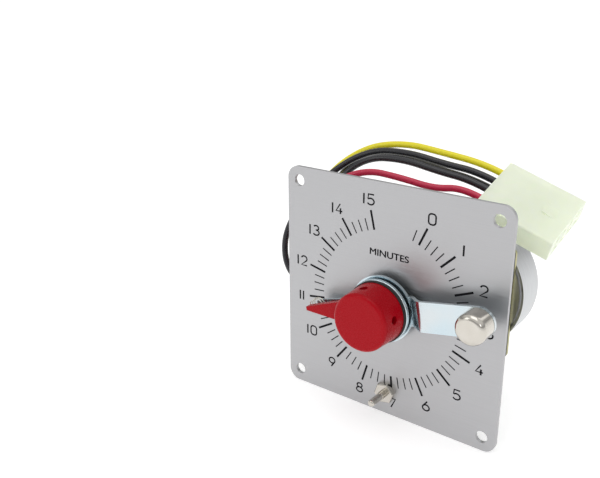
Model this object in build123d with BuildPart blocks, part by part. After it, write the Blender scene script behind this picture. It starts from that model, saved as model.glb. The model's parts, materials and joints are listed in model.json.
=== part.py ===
"""Panel-mounted interval timer: face plate with dial, hand knob and setting lever, gear train and motor."""

import math
import os

from build123d import *

os.makedirs("parts", exist_ok=True)

# Frame: X to the user's right, Y into the panel, Z up. The origin is the centre of the four
# mounting holes on the back face of the face plate. All sizes are in millimetres.

# fits
run = 0.05  # radial running clearance
seat = 0.02  # radial clearance of a fixed seat
gap = 0.4  # clear space between pieces that move past each other

# face plate
plate_side = 100.8
plate_t = 1.6
plate_corner_r = 5.2
mount_pitch = 88.9
mount_hole_r = 2.5
axis_z = -0.5  # height of the main shaft

# dial geometry, degrees clockwise from the top
zero_angle = 24.2
degrees_per_minute = 21.513
shown_minutes = 10.92
hand_angle = zero_angle + degrees_per_minute * shown_minutes
lever_angle = 79.0

# main shaft, bushing and nut
shaft_r = 3.0
shaft_chamfer = 0.3
bushing_r = 4.76
bushing_flange_r = 7.0
bushing_flange_t = 2.0
nut_flats = 12.7
nut_t = 2.2
bushing_proud = 0.4

# stop pin
pin_x = 0.9
pin_z = -40.0
pin_r = 1.5
pin_proud = 12.5
pin_nut_flats = 8.0
pin_nut_t = 2.5
pin_nut_turn = 12
pin_head_r = 2.8
pin_head_t = 1.2

# movement frame
frame_w = 78.5
frame_h = 47.5
frame_x = 1.25
frame_z = 0.25
frame_t = 1.5
frame_corner_r = 2.0
frame_depth = 26.4  # front face of the rear plate
insulator_t = 1.2
pillar_r = 3.0
pillar_tenon_r = 2.0
pillar_inset = 4.0
frame_screw_r = 1.5
frame_screw_head_r = 2.8
frame_screw_depth = 6.4
slot_w = 0.7
slot_depth = 0.6
tab_notch_w = 3.0
tab_notch_h = 11.0
tab_notch_z = 6.0

# motor
motor_x = 17.0
motor_z = 2.5
motor_r = 27.6
motor_wall = 0.8
motor_depth = 17.1
motor_cover_r = 26.0
motor_cover_t = 1.4
motor_rim_back = 0.4
motor_edge_r = 2.5
stator_r_in = 13.0
stator_t = 2.0
gear_head_r = 12.6
gear_head_t = 4.0
output_bore = 1.8
rotor_bore = 1.2
rotor_bearing_r = 4.0
coil_r_in = 15.5
coil_r_out = 24.0
bobbin_wall = 0.9
bobbin_r_out = 25.2
bobbin_length = 12.0
rotor_r = 12.8
rotor_t = 7.0
rotor_shaft_r = 1.0
output_shaft_r = 1.6
motor_screw_r = 1.5
motor_screw_head_r = 2.7
motor_screw_head_t = 1.2
motor_screw_ring = 18.0
motor_screw_angles = (45.0, 135.0)
grommet_r = 4.6
grommet_flange_t = 1.8
grommet_lip = 0.8
grommet_tail = 1.2
grommet_back = 1.0  # behind the middle of the can
grommet_bore_offset = 2.1

# gear train
module = 0.5
tooth_share = 0.75  # tooth width over half the pitch
addendum = 0.9
dedendum = 1.25
flank_angle = 20.0
mesh_play = 0.12
main_teeth = 48
idler_pinion_teeth = 12
idler_teeth = 42
motor_pinion_teeth = 10
idler_bearing = -30.0  # direction from the main shaft to the idler, degrees above +X
output_bearing = 72.0  # direction from the idler to the motor output, degrees above +X
gear_t = 2.0
idler_gear_t = 1.4
pinion_margin = 0.6
stud_r = 1.5
stud_tenon_r = 1.2
clip_t = 0.5
clip_r = 5.0
idler_clip_w = 1.5
hub_r = 5.5
hub_length = 3.9
gear_hole_r = 1.9
gear_hole_ring = 8.0
gear_holes = 5
clutch_t = 0.5
clutch_inset = 0.3
bearing_r = 4.0
bearing_flange_r = 5.5

# cam
cam_r = 10.1
cam_t = 3.0
cam_hub_length = 4.3
cam_notch_r = 8.4
cam_notch_angle = 16.0
set_screw_r = 1.65

# switch
switch_t = 6.4
switch_w = 10.2
switch_h = 20.0
switch_x = -16.2  # face with the button
switch_y = 5.0
switch_z = -4.0
switch_corner_r = 0.8
spacer_inset = 1.0
switch_screw_r = 1.1
switch_screw_head_r = 2.0
switch_screw_head_t = 1.3
switch_screw_pitch = 9.5
switch_screw_inset = 7.2
switch_slot = 0.5
button_r = 1.0
button_proud = 1.6
button_length = 3.3
button_offset = -2.0
leaf_t = 0.4
leaf_w = 4.0
leaf_gap = 0.25
leaf_crank = 0.8  # where it bends, below the middle of the switch
leaf_bend_r = 0.9
leaf_tip_back = 2.1
leaf_tip_rise = 2.3
nose_in = 0.35
knuckle_r = 1.0
pivot_r = 0.5
pivot_out = 1.3
pivot_offset = -8.8
ear_t = 0.8
ear_h = 2.4
ear_margin = 0.5
terminal_pitch = 8.2
terminal_length = 5.1
terminal_w = 3.2
terminal_t = 0.8

# stack between the face plate and the knob, measured forward from the plate
lever_height = 3.0
lever_t = 1.4
lever_disc_r = 14.0
spacer_t = 1.0
spacer_r = 10.0
zinc_t = 1.6
zinc_r = 13.3
zinc_edge_r = 0.4
fibre_t = 1.4
fibre_r = 13.0

# lever arm
arm_w = 12.3
arm_rise = 4.5
arm_ramp_start = 14.4
arm_ramp_end = 19.6
arm_bend_r = 2.2
arm_reach = 44.3
tail_root_w = 9.0
tail_end_w = 3.4
tail_reach = 31.0
tail_hook = 3.0

# nickel knob on the lever
ball_r = 6.1
ball_length = 8.6
ball_edge_r = 2.4
ball_back_edge_r = 0.4
ball_stud_r = 1.6
ball_stud_depth = 5.0
ball_head_r = 3.2
ball_head_t = 0.9
ball_head_edge_r = 0.4

# red knob
knob_base_r = 12.5
knob_front_r = 12.0
knob_length = 12.6
knob_edge_r = 1.6
insert_r = 5.0
insert_length = 10.5
shaft_in_knob = 9.5
set_screw_height = 6.0
set_screw_length = 5.0
pointer_reach = 33.0
pointer_root_w = 14.5
pointer_tip_w = 1.6
pointer_t = 3.0

# link spring between lever tail and pointer
link_r = 3.3
link_wire = 0.6
link_reach = 30.3

# leads and connector
lead_r = 1.45
bend_share = 0.45  # of the shorter run at a corner, taken up by its arc
connector_centre = (38.9, 38.9, 36.9)
connector_yaw = 2.1
connector_pitch = 19.5
connector_roll = 26.3
connector_l = 33.5
connector_w = 27.5
connector_t = 10.8
connector_edge = 0.8
cell_columns = (-8.4, -2.8, 2.8, 8.4)
cell_rows = (-2.5, 2.5)
cell_r = 1.7
cell_web = 8.0
contact_r = 0.8
contact_length = 24.0
latch_l = 7.0
latch_w = 5.0
latch_t = 1.3
latch_inset = 4.0
latch_sink = 0.3
used_cells = {
    "yellow": (8.4, 2.5),
    "black_1": (2.8, 2.5),
    "black_2": (-2.8, 2.5),
    "black_3": (2.8, -2.5),
    "red": (-8.4, 2.5),
}


def across(depth, centre=(0.0, 0.0)):
    """Plane across the shafts at a depth, with local X to the right and local Y up, facing the user."""
    return Plane(origin=(centre[0], depth, centre[1]), x_dir=(1, 0, 0), z_dir=(0, -1, 0))


def ahead(height):
    """Depth of a point at a height in front of the face plate."""
    return -(plate_t + height)


def ring(inner, outer, front, back):
    """Half section of a plain ring or disc."""
    return [(inner, front), (outer, front), (outer, back), (inner, back)]


def spin(centre, profile, mode=Mode.ADD):
    """Turn a half section of (radius, depth) points about a line along Y."""
    x, z = centre
    with BuildSketch(Plane(origin=(x, 0, z), x_dir=(1, 0, 0), z_dir=(0, 0, 1))) as section:
        with BuildLine():
            Polyline(*profile, close=True)
        make_face()
    revolve(section.sketch, axis=Axis((x, 0, z), (0, 1, 0)), mode=mode)


def on_dial(angle, radius):
    """Point (x, z) at an angle clockwise from the top and a radius from the main shaft."""
    turn = math.radians(angle)
    return (radius * math.sin(turn), axis_z + radius * math.cos(turn))


def gear_points(teeth, first_tooth):
    """Outline of a spur gear with straight flanks; the first tooth points at an angle above +X."""
    pitch_r = teeth * module / 2
    half_pitch = tooth_share * math.pi * module / 4
    root_r = pitch_r - dedendum * module
    tip_r = pitch_r + addendum * module
    points = []
    for tooth in range(teeth):
        middle = math.radians(first_tooth + 360 * tooth / teeth)
        for radius, side in ((root_r, -1), (tip_r, -1), (tip_r, 1), (root_r, 1)):
            half = half_pitch - (radius - pitch_r) * math.tan(math.radians(flank_angle))
            angle = middle + side * half / radius
            points.append((radius * math.cos(angle), radius * math.sin(angle)))
    return points


def step_aside(centre, bearing, distance):
    """Point (x, z) at a distance from a centre, along a bearing in degrees above +X."""
    turn = math.radians(bearing)
    return (centre[0] + distance * math.cos(turn), centre[1] + distance * math.sin(turn))


def write(piece, name):
    """Label a finished piece and write its STEP file."""
    piece.part.label = name
    export_step(piece.part, f"parts/{name}.step")


shaft = (0.0, axis_z)
motor = (motor_x, motor_z)
rear = frame_depth + frame_t  # back face of the movement frame
idler_distance = module * (main_teeth + idler_pinion_teeth) / 2 + mesh_play
idler = step_aside(shaft, idler_bearing, idler_distance)
output_distance = module * (idler_teeth + motor_pinion_teeth) / 2 + mesh_play
output = step_aside(idler, output_bearing, output_distance)
pillar_spots = [
    (frame_x + i * (frame_w / 2 - pillar_inset), frame_z + k * (frame_h / 2 - pillar_inset))
    for i in (-1, 1)
    for k in (-1, 1)
]
motor_screw_spots = [step_aside(motor, a, motor_screw_ring) for a in motor_screw_angles]
switch_screw_x = switch_x - switch_screw_inset
switch_screw_spots = [
    (switch_screw_x, switch_z + k * switch_screw_pitch / 2) for k in (-1, 1)
]
switch_back = switch_y + switch_t
switch_mid_y = switch_y + switch_t / 2
terminal_x = switch_x - switch_w - terminal_length

# depths of the gear train
main_gear_back = frame_depth - 4.0
main_gear_front = main_gear_back - gear_t
clutch_front = main_gear_front - clutch_t
hub_front = clutch_front - hub_length
idler_gear_back = frame_depth - insulator_t - gap
idler_gear_front = idler_gear_back - idler_gear_t
idler_pinion_front = main_gear_front - pinion_margin
motor_pinion_front = idler_gear_front - pinion_margin
motor_pinion_back = idler_gear_back + gap / 2
stud_front = idler_pinion_front - gap - 2 * clip_t
cam_front = switch_mid_y - cam_t / 2
cam_back = cam_front + cam_t

# depths of the front stack
lever_back = ahead(lever_height)
lever_front = lever_back - lever_t
spacer_front = lever_front - spacer_t
zinc_front = spacer_front - zinc_t
fibre_front = zinc_front - fibre_t
knob_back = fibre_front
knob_front = knob_back - knob_length

# ---------------------------------------------------------------- face plate and its fittings

with BuildPart() as face_plate:
    with BuildSketch(across(0)):
        RectangleRounded(plate_side, plate_side, plate_corner_r)
        with GridLocations(mount_pitch, mount_pitch, 2, 2):
            Circle(mount_hole_r, mode=Mode.SUBTRACT)
        with Locations(shaft):
            Circle(bushing_r + seat, mode=Mode.SUBTRACT)
        with Locations((pin_x, pin_z)):
            Circle(pin_r + seat, mode=Mode.SUBTRACT)
    extrude(amount=plate_t)
write(face_plate, "face_plate")

with BuildPart() as panel_bushing:
    bushing_front = ahead(nut_t + bushing_proud)
    spin(shaft, ring(shaft_r + run, bushing_r, bushing_front, frame_t))
    spin(shaft, ring(shaft_r + run, bushing_flange_r, frame_t, frame_t + bushing_flange_t))
    nose = panel_bushing.edges().filter_by(GeomType.CIRCLE).sort_by(Axis.Y)[:2]
    chamfer(nose.sort_by(SortBy.RADIUS)[-1], bushing_proud / 2)
write(panel_bushing, "panel_bushing")

with BuildPart() as panel_nut:
    with BuildSketch(across(-plate_t, shaft)):
        RegularPolygon(nut_flats / 2, 6, major_radius=False)
        Circle(bushing_r + seat, mode=Mode.SUBTRACT)
    extrude(amount=nut_t)
write(panel_nut, "panel_nut")

with BuildPart() as stop_pin:
    spin((pin_x, pin_z), ring(0, pin_r, ahead(pin_proud), 0))
    spin((pin_x, pin_z), ring(0, pin_head_r, 0, pin_head_t))
    fillet(stop_pin.edges().filter_by(GeomType.CIRCLE).sort_by(Axis.Y)[0], pin_r * 0.8)
write(stop_pin, "stop_pin")

with BuildPart() as stop_pin_nut:
    with BuildSketch(across(-plate_t, (pin_x, pin_z))):
        RegularPolygon(pin_nut_flats / 2, 6, major_radius=False, rotation=pin_nut_turn)
        Circle(pin_r + seat, mode=Mode.SUBTRACT)
    extrude(amount=pin_nut_t)
    front_rim = stop_pin_nut.faces().sort_by(Axis.Y)[0].outer_wire().edges()
    chamfer(front_rim, pin_nut_t / 8)
write(stop_pin_nut, "stop_pin_nut")

# ---------------------------------------------------------------- movement frame

with BuildPart() as frame_front_plate:
    with BuildSketch(across(frame_t)):
        with Locations((frame_x, frame_z)):
            RectangleRounded(frame_w, frame_h, frame_corner_r)
        with Locations(shaft):
            Circle(bushing_r + seat, mode=Mode.SUBTRACT)
        with Locations(*pillar_spots):
            Circle(pillar_tenon_r + seat, mode=Mode.SUBTRACT)
        with Locations(*switch_screw_spots):
            Circle(switch_screw_r + seat, mode=Mode.SUBTRACT)
    extrude(amount=frame_t)
write(frame_front_plate, "frame_front_plate")

for number, spot in enumerate(pillar_spots, start=1):
    with BuildPart() as frame_pillar:
        spin(spot, ring(0, pillar_tenon_r, 0, frame_t))
        spin(spot, ring(0, pillar_r, frame_t, frame_depth))
        screw_end = rear - frame_screw_depth
        spin(spot, ring(0, frame_screw_r + seat, screw_end, frame_depth), Mode.SUBTRACT)
    write(frame_pillar, f"frame_pillar_{number}")

with BuildPart() as frame_rear_plate:
    with BuildSketch(across(rear)):
        with Locations((frame_x, frame_z)):
            RectangleRounded(frame_w, frame_h, frame_corner_r)
        with Locations(shaft):
            Circle(bearing_r + seat, mode=Mode.SUBTRACT)
        with Locations(idler):
            Circle(stud_tenon_r + seat, mode=Mode.SUBTRACT)
        with Locations(output):
            Circle(output_shaft_r + gap, mode=Mode.SUBTRACT)
        with Locations(*pillar_spots):
            Circle(frame_screw_r + seat, mode=Mode.SUBTRACT)
        with Locations(*motor_screw_spots):
            Circle(motor_screw_r + seat, mode=Mode.SUBTRACT)
    extrude(amount=frame_t)
    cone_depth = frame_screw_head_r - frame_screw_r
    for spot in pillar_spots:
        cone = [
            (0, rear - cone_depth),
            (frame_screw_r + seat, rear - cone_depth),
            (frame_screw_head_r + seat, rear),
            (0, rear),
        ]
        spin(spot, cone, Mode.SUBTRACT)
write(frame_rear_plate, "frame_rear_plate")

with BuildPart() as insulator_sheet:
    with BuildSketch(across(frame_depth)):
        with Locations((frame_x, frame_z)):
            RectangleRounded(frame_w, frame_h, frame_corner_r)
        with Locations((frame_x + frame_w / 2, tab_notch_z)):
            Rectangle(2 * tab_notch_w, tab_notch_h, mode=Mode.SUBTRACT)
        with Locations(shaft):
            Circle(bearing_flange_r + seat, mode=Mode.SUBTRACT)
        with Locations(idler):
            Circle(stud_r + seat, mode=Mode.SUBTRACT)
        with Locations(output):
            Circle(output_shaft_r + 2 * gap, mode=Mode.SUBTRACT)
        with Locations(*pillar_spots):
            Circle(pillar_r + seat, mode=Mode.SUBTRACT)
        with Locations(*motor_screw_spots):
            Circle(motor_screw_r + seat, mode=Mode.SUBTRACT)
    extrude(amount=insulator_t)
write(insulator_sheet, "insulator_sheet")

with BuildPart() as frame_screws:
    for spot in pillar_spots:
        head = [
            (0, rear - frame_screw_depth),
            (frame_screw_r, rear - frame_screw_depth),
            (frame_screw_r, rear - frame_screw_head_r + frame_screw_r),
            (frame_screw_head_r, rear),
            (0, rear),
        ]
        spin(spot, head)
    with BuildSketch(across(rear)):
        with Locations(*pillar_spots):
            Rectangle(2 * frame_screw_head_r, slot_w)
    extrude(amount=slot_depth, mode=Mode.SUBTRACT)
write(frame_screws, "frame_screws")

with BuildPart() as rear_bearing:
    spin(shaft, ring(shaft_r + run, bearing_flange_r, frame_depth - insulator_t, frame_depth))
    spin(shaft, ring(shaft_r + run, bearing_r, frame_depth, rear))
write(rear_bearing, "rear_bearing")

with BuildPart() as idler_stud:
    spin(idler, ring(0, stud_r, stud_front, frame_depth))
    spin(idler, ring(0, stud_tenon_r, frame_depth, rear))
write(idler_stud, "idler_stud")

with BuildPart() as idler_clip:
    clip_front = stud_front + clip_t
    spin(idler, ring(stud_r + seat, stud_r + idler_clip_w, clip_front, clip_front + clip_t))
write(idler_clip, "idler_clip")

# ---------------------------------------------------------------- switch

with BuildPart() as switch_spacer:
    with BuildSketch(across(switch_y)):
        with Locations((switch_screw_x, switch_z)):
            Rectangle(2 * (switch_w - switch_screw_inset), switch_h - 2 * spacer_inset)
        with Locations(*switch_screw_spots):
            Circle(switch_screw_r + seat, mode=Mode.SUBTRACT)
    extrude(amount=switch_y - frame_t)
write(switch_spacer, "switch_spacer")

pivot = (switch_x + pivot_out, switch_z + pivot_offset)
button_z = switch_z + button_offset

with BuildPart() as switch_body:
    with BuildSketch(across(switch_back)):
        with Locations((switch_x - switch_w / 2, switch_z)):
            RectangleRounded(switch_w, switch_h, switch_corner_r)
        with Locations(*switch_screw_spots):
            Circle(switch_screw_r + seat, mode=Mode.SUBTRACT)
    extrude(amount=switch_t)
    for ear_back in (switch_y + ear_t, switch_back):
        with BuildSketch(across(ear_back)):
            with Locations((switch_x + pivot_out / 2, pivot[1])):
                Rectangle(pivot_out + 2 * (pivot_r + ear_margin), ear_h)
            with Locations(pivot):
                Circle(pivot_r, mode=Mode.SUBTRACT)
        extrude(amount=ear_t)
    with BuildSketch(Plane(origin=(switch_x, switch_mid_y, button_z), z_dir=(-1, 0, 0))):
        Circle(button_r + run)
    extrude(amount=button_length - button_proud + 2 * gap, mode=Mode.SUBTRACT)
write(switch_body, "switch_body")

with BuildPart() as switch_pivot:
    spin(pivot, ring(0, pivot_r, switch_y, switch_back))
write(switch_pivot, "switch_pivot")

with BuildPart() as switch_screws:
    for spot in switch_screw_spots:
        spin(spot, ring(0, switch_screw_r, 0, switch_back))
        spin(spot, ring(0, switch_screw_head_r, switch_back, switch_back + switch_screw_head_t))
    with BuildSketch(across(switch_back + switch_screw_head_t)):
        with Locations(*switch_screw_spots):
            Rectangle(2 * switch_screw_head_r, switch_slot)
    extrude(amount=switch_slot, mode=Mode.SUBTRACT)
write(switch_screws, "switch_screws")

with BuildPart() as switch_terminals:
    with BuildSketch(Plane(origin=(terminal_x, switch_mid_y, switch_z), z_dir=(1, 0, 0), x_dir=(0, 1, 0))):
        with GridLocations(0, terminal_pitch, 1, 3):
            Rectangle(terminal_t, terminal_w)
    extrude(amount=terminal_length)
write(switch_terminals, "switch_terminals")

with BuildPart() as switch_button:
    tip_x = switch_x + button_proud
    with BuildSketch(Plane(origin=(tip_x, switch_mid_y, button_z), z_dir=(-1, 0, 0))):
        Circle(button_r)
    extrude(amount=button_length)
    fillet(switch_button.edges().filter_by(GeomType.CIRCLE).sort_by(Axis.X)[-1], button_r * 0.3)
write(switch_button, "switch_button")

leaf_x = switch_x + button_proud + leaf_gap + leaf_t / 2
nose_x = -(cam_r + gap + leaf_t / 2)

with BuildPart() as switch_lever:
    with BuildSketch(across(switch_mid_y + leaf_w / 2)):
        with BuildLine() as leaf_line:
            FilletPolyline(
                (leaf_x, pivot[1]),
                (leaf_x, switch_z - leaf_crank),
                (nose_x + nose_in, axis_z),
                (nose_x - leaf_tip_back, axis_z + leaf_tip_rise),
                radius=leaf_bend_r,
            )
        trace(leaf_line.line, line_width=leaf_t)
        with Locations(pivot):
            Circle(knuckle_r)
            Circle(pivot_r + run, mode=Mode.SUBTRACT)
    extrude(amount=leaf_w)
write(switch_lever, "switch_lever")

# ---------------------------------------------------------------- motor

cover_back = rear + motor_cover_t
stator_back = cover_back + stator_t
bobbin_back = stator_back + bobbin_length
can_front = rear + motor_rim_back
can_back = rear + motor_depth + motor_rim_back

with BuildPart() as motor_cover:
    spin(motor, ring(0, motor_cover_r, rear, cover_back))
    spin(output, ring(0, output_shaft_r + gap, rear, cover_back), Mode.SUBTRACT)
    for spot in motor_screw_spots:
        spin(spot, ring(0, motor_screw_r + seat, rear, cover_back), Mode.SUBTRACT)
write(motor_cover, "motor_cover")

grommet_y = can_front + motor_depth / 2 + grommet_back
grommet_x = motor_x - motor_r

with BuildPart() as motor_can:
    spin(motor, ring(0, motor_r, can_front, can_back))
    fillet(motor_can.edges().filter_by(GeomType.CIRCLE).sort_by(Axis.Y)[-1], motor_edge_r)
    inner_back = can_back - motor_wall
    spin(motor, ring(0, motor_r - motor_wall, can_front, inner_back), Mode.SUBTRACT)
    with BuildSketch(Plane(origin=(grommet_x, grommet_y, motor_z), z_dir=(1, 0, 0))):
        Circle(grommet_r - grommet_lip)
    extrude(amount=2 * grommet_lip + grommet_tail, mode=Mode.SUBTRACT)
write(motor_can, "motor_can")

with BuildPart() as motor_stator:
    spin(motor, ring(stator_r_in, motor_r - motor_wall - seat, cover_back, stator_back))
write(motor_stator, "motor_stator")

gear_head_back = cover_back + gear_head_t
output_bore_back = cover_back + output_bore
rotor_bore_front = gear_head_back - rotor_bore

with BuildPart() as motor_gear_head:
    spin(motor, ring(0, gear_head_r, cover_back, gear_head_back))
    spin(output, ring(0, output_shaft_r + run, cover_back, output_bore_back), Mode.SUBTRACT)
    spin(motor, ring(0, rotor_shaft_r + run, rotor_bore_front, gear_head_back), Mode.SUBTRACT)
write(motor_gear_head, "motor_gear_head")

with BuildPart() as motor_bobbin:
    bobbin_r_in = coil_r_in - bobbin_wall
    spin(motor, ring(bobbin_r_in, bobbin_r_out, stator_back, stator_back + bobbin_wall))
    spin(motor, ring(bobbin_r_in, coil_r_in, stator_back, bobbin_back))
    spin(motor, ring(bobbin_r_in, bobbin_r_out, bobbin_back - bobbin_wall, bobbin_back))
write(motor_bobbin, "motor_bobbin")

with BuildPart() as motor_coil:
    coil_front = stator_back + bobbin_wall + seat
    spin(motor, ring(coil_r_in + seat, coil_r_out, coil_front, bobbin_back - bobbin_wall - seat))
write(motor_coil, "motor_coil")

rotor_front = gear_head_back + 2 * gap
rotor_back = rotor_front + rotor_t
pivot_back = can_back - motor_wall

with BuildPart() as motor_rear_bearing:
    spin(motor, ring(rotor_shaft_r + run, rotor_bearing_r, rotor_back + gap, pivot_back))
write(motor_rear_bearing, "motor_rear_bearing")

with BuildPart() as motor_rotor:
    spin(motor, ring(rotor_shaft_r, rotor_r, rotor_front, rotor_back))
write(motor_rotor, "motor_rotor")

with BuildPart() as rotor_shaft:
    spin(motor, ring(0, rotor_shaft_r, rotor_bore_front + gap / 2, pivot_back - gap))
write(rotor_shaft, "rotor_shaft")

with BuildPart() as motor_screws:
    head_back = frame_depth - insulator_t
    for spot in motor_screw_spots:
        spin(spot, ring(0, motor_screw_r, head_back, cover_back))
        spin(spot, ring(0, motor_screw_head_r, head_back - motor_screw_head_t, head_back))
write(motor_screws, "motor_screws")

with BuildPart() as motor_grommet:
    with BuildSketch(Plane(origin=(grommet_x - grommet_flange_t, grommet_y, motor_z), z_dir=(1, 0, 0))):
        Circle(grommet_r)
    extrude(amount=grommet_flange_t - seat)
    with BuildSketch(Plane(origin=(grommet_x - grommet_flange_t, grommet_y, motor_z), z_dir=(1, 0, 0))):
        Circle(grommet_r - grommet_lip - seat)
    extrude(amount=grommet_flange_t + motor_wall + grommet_tail)
write(motor_grommet, "motor_grommet")

# ---------------------------------------------------------------- gear train

with BuildPart() as motor_pinion:
    spin(output, ring(0, output_shaft_r, motor_pinion_front - gap / 2, output_bore_back - gap))
    with BuildSketch(across(motor_pinion_back, output)):
        with BuildLine():
            Polyline(*gear_points(motor_pinion_teeth, output_bearing + 180), close=True)
        make_face()
    extrude(amount=motor_pinion_back - motor_pinion_front)
write(motor_pinion, "motor_pinion")

with BuildPart() as idler_gear:
    with BuildSketch(across(idler_gear_back, idler)):
        with BuildLine():
            first = output_bearing + 180 / idler_teeth
            Polyline(*gear_points(idler_teeth, first), close=True)
        make_face()
        Circle(stud_r + run, mode=Mode.SUBTRACT)
    extrude(amount=idler_gear_t)
write(idler_gear, "idler_gear")

with BuildPart() as idler_pinion:
    with BuildSketch(across(idler_gear_front, idler)):
        with BuildLine():
            Polyline(*gear_points(idler_pinion_teeth, idler_bearing + 180), close=True)
        make_face()
        Circle(stud_r + run, mode=Mode.SUBTRACT)
    extrude(amount=idler_gear_front - idler_pinion_front)
write(idler_pinion, "idler_pinion")

with BuildPart() as main_gear:
    with BuildSketch(across(main_gear_back, shaft)):
        with BuildLine():
            first = idler_bearing + 180 / main_teeth
            Polyline(*gear_points(main_teeth, first), close=True)
        make_face()
        Circle(shaft_r + seat, mode=Mode.SUBTRACT)
        with PolarLocations(gear_hole_ring, gear_holes):
            Circle(gear_hole_r, mode=Mode.SUBTRACT)
    extrude(amount=gear_t)
write(main_gear, "main_gear")

with BuildPart() as clutch_washer:
    spin(shaft, ring(shaft_r + seat, hub_r - clutch_inset, clutch_front, main_gear_front))
write(clutch_washer, "clutch_washer")

with BuildPart() as gear_hub:
    spin(shaft, ring(shaft_r + seat, hub_r, hub_front, clutch_front))
write(gear_hub, "gear_hub")

with BuildPart() as switch_cam:
    notch = zero_angle - hand_angle  # turn of the hand from here to zero
    notch_middle = 180 + notch  # lies at the switch when the hand shows zero
    with BuildSketch(across(cam_back, shaft)):
        with BuildLine():
            start = notch_middle + cam_notch_angle / 2
            CenterArc((0, 0), cam_r, start, 360 - cam_notch_angle)
            edge_in = math.radians(notch_middle + cam_notch_angle / 4)
            edge_out = math.radians(notch_middle - cam_notch_angle / 4)
            rim_a = math.radians(notch_middle + cam_notch_angle / 2)
            rim_b = math.radians(notch_middle - cam_notch_angle / 2)
            Polyline(
                (cam_r * math.cos(rim_a), cam_r * math.sin(rim_a)),
                (cam_notch_r * math.cos(edge_in), cam_notch_r * math.sin(edge_in)),
                (cam_notch_r * math.cos(edge_out), cam_notch_r * math.sin(edge_out)),
                (cam_r * math.cos(rim_b), cam_r * math.sin(rim_b)),
            )
        make_face()
    extrude(amount=cam_t)
    spin(shaft, ring(0, hub_r, cam_back, cam_back + cam_hub_length))
    spin(shaft, ring(0, shaft_r + seat, cam_front, cam_back + cam_hub_length), Mode.SUBTRACT)
    with BuildSketch(Plane(origin=(0, cam_back + cam_hub_length / 2, axis_z), z_dir=(0, 0, 1))):
        Circle(set_screw_r)
    extrude(amount=hub_r + 1, mode=Mode.SUBTRACT)
write(switch_cam, "switch_cam")

with BuildPart() as shaft_clips:
    bushing_back = frame_t + bushing_flange_t
    spin(shaft, ring(shaft_r + seat, clip_r, bushing_back + gap, bushing_back + gap + clip_t))
    spin(shaft, ring(shaft_r + seat, clip_r, main_gear_back, main_gear_back + clip_t))
write(shaft_clips, "shaft_clips")

with BuildPart() as main_shaft:
    spin(shaft, ring(0, shaft_r, knob_back - shaft_in_knob, rear - gap))
    chamfer(main_shaft.edges().filter_by(GeomType.CIRCLE), shaft_chamfer)
write(main_shaft, "main_shaft")

# ---------------------------------------------------------------- lever, washers and knobs

arm_turn = math.radians(lever_angle)
arm_dir = Vector(math.sin(arm_turn), 0, math.cos(arm_turn))
# section plane along the lever: local X outward along the arm, local Y towards the user
arm_plane = Plane(
    origin=(0, 0, axis_z),
    x_dir=(arm_dir.X, 0, arm_dir.Z),
    z_dir=(arm_dir.Z, 0, -arm_dir.X),
)
low = plate_t + lever_height
# plane on the lever's back face: local X outward along the arm, facing the user
tail_plane = Plane(origin=(0, -low, axis_z), x_dir=(arm_dir.X, 0, arm_dir.Z), z_dir=(0, -1, 0))
high = low + arm_rise
ball_centre = on_dial(lever_angle, arm_reach)
tail_angle = lever_angle + 180

with BuildPart() as lever_arm:
    with BuildSketch(arm_plane):
        with BuildLine() as arm_line:
            FilletPolyline(
                (0, low + lever_t / 2),
                (arm_ramp_start, low + lever_t / 2),
                (arm_ramp_end, high + lever_t / 2),
                (arm_reach, high + lever_t / 2),
                radius=arm_bend_r,
            )
        trace(arm_line.line, line_width=lever_t)
    extrude(amount=arm_w / 2, both=True)
    with BuildSketch(tail_plane):
        with BuildLine():
            Polyline(
                (0, tail_root_w / 2),
                (-tail_reach, tail_end_w / 2),
                (-tail_reach, -tail_end_w / 2),
                (0, -tail_root_w / 2),
                close=True,
            )
        make_face()
    extrude(amount=lever_t)
    with BuildSketch(tail_plane):
        with Locations((-tail_reach + lever_t / 2, 0)):
            Rectangle(lever_t, tail_end_w)
    extrude(amount=tail_hook)
    spin(shaft, ring(0, lever_disc_r, lever_front, lever_back))
    arm_front = -(high + lever_t)
    spin(ball_centre, ring(0, arm_w / 2, arm_front, -high))
    spin(ball_centre, ring(0, ball_stud_r + seat, arm_front, -high), Mode.SUBTRACT)
    spin(shaft, ring(0, shaft_r + seat, lever_front, lever_back), Mode.SUBTRACT)
write(lever_arm, "lever_arm")

with BuildPart() as lever_knob:
    spin(ball_centre, ring(0, ball_r, arm_front - ball_length, arm_front))
    fillet(lever_knob.edges().filter_by(GeomType.CIRCLE).sort_by(Axis.Y)[0], ball_edge_r)
    fillet(lever_knob.edges().filter_by(GeomType.CIRCLE).sort_by(Axis.Y)[-1], ball_back_edge_r)
    stud_end = arm_front - ball_stud_depth
    spin(ball_centre, ring(0, ball_stud_r + seat, stud_end, arm_front), Mode.SUBTRACT)
write(lever_knob, "lever_knob")

with BuildPart() as lever_knob_screw:
    spin(ball_centre, ring(0, ball_stud_r, stud_end + seat, -high))
    spin(ball_centre, ring(0, ball_head_r, -high, -high + ball_head_t))
    head_rim = lever_knob_screw.edges().filter_by(GeomType.CIRCLE).sort_by(Axis.Y)[-1]
    fillet(head_rim, ball_head_edge_r)
write(lever_knob_screw, "lever_knob_screw")

with BuildPart() as lever_spacer:
    spin(shaft, ring(shaft_r + seat, spacer_r, spacer_front, lever_front))
write(lever_spacer, "lever_spacer")

with BuildPart() as zinc_washer:
    spin(shaft, ring(shaft_r + seat, zinc_r, zinc_front, spacer_front))
    rims = zinc_washer.edges().filter_by(GeomType.CIRCLE).group_by(SortBy.RADIUS)[-1]
    fillet(rims, zinc_edge_r)
write(zinc_washer, "zinc_washer")

with BuildPart() as fibre_washer:
    spin(shaft, ring(shaft_r + seat, fibre_r, fibre_front, zinc_front))
write(fibre_washer, "fibre_washer")

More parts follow.
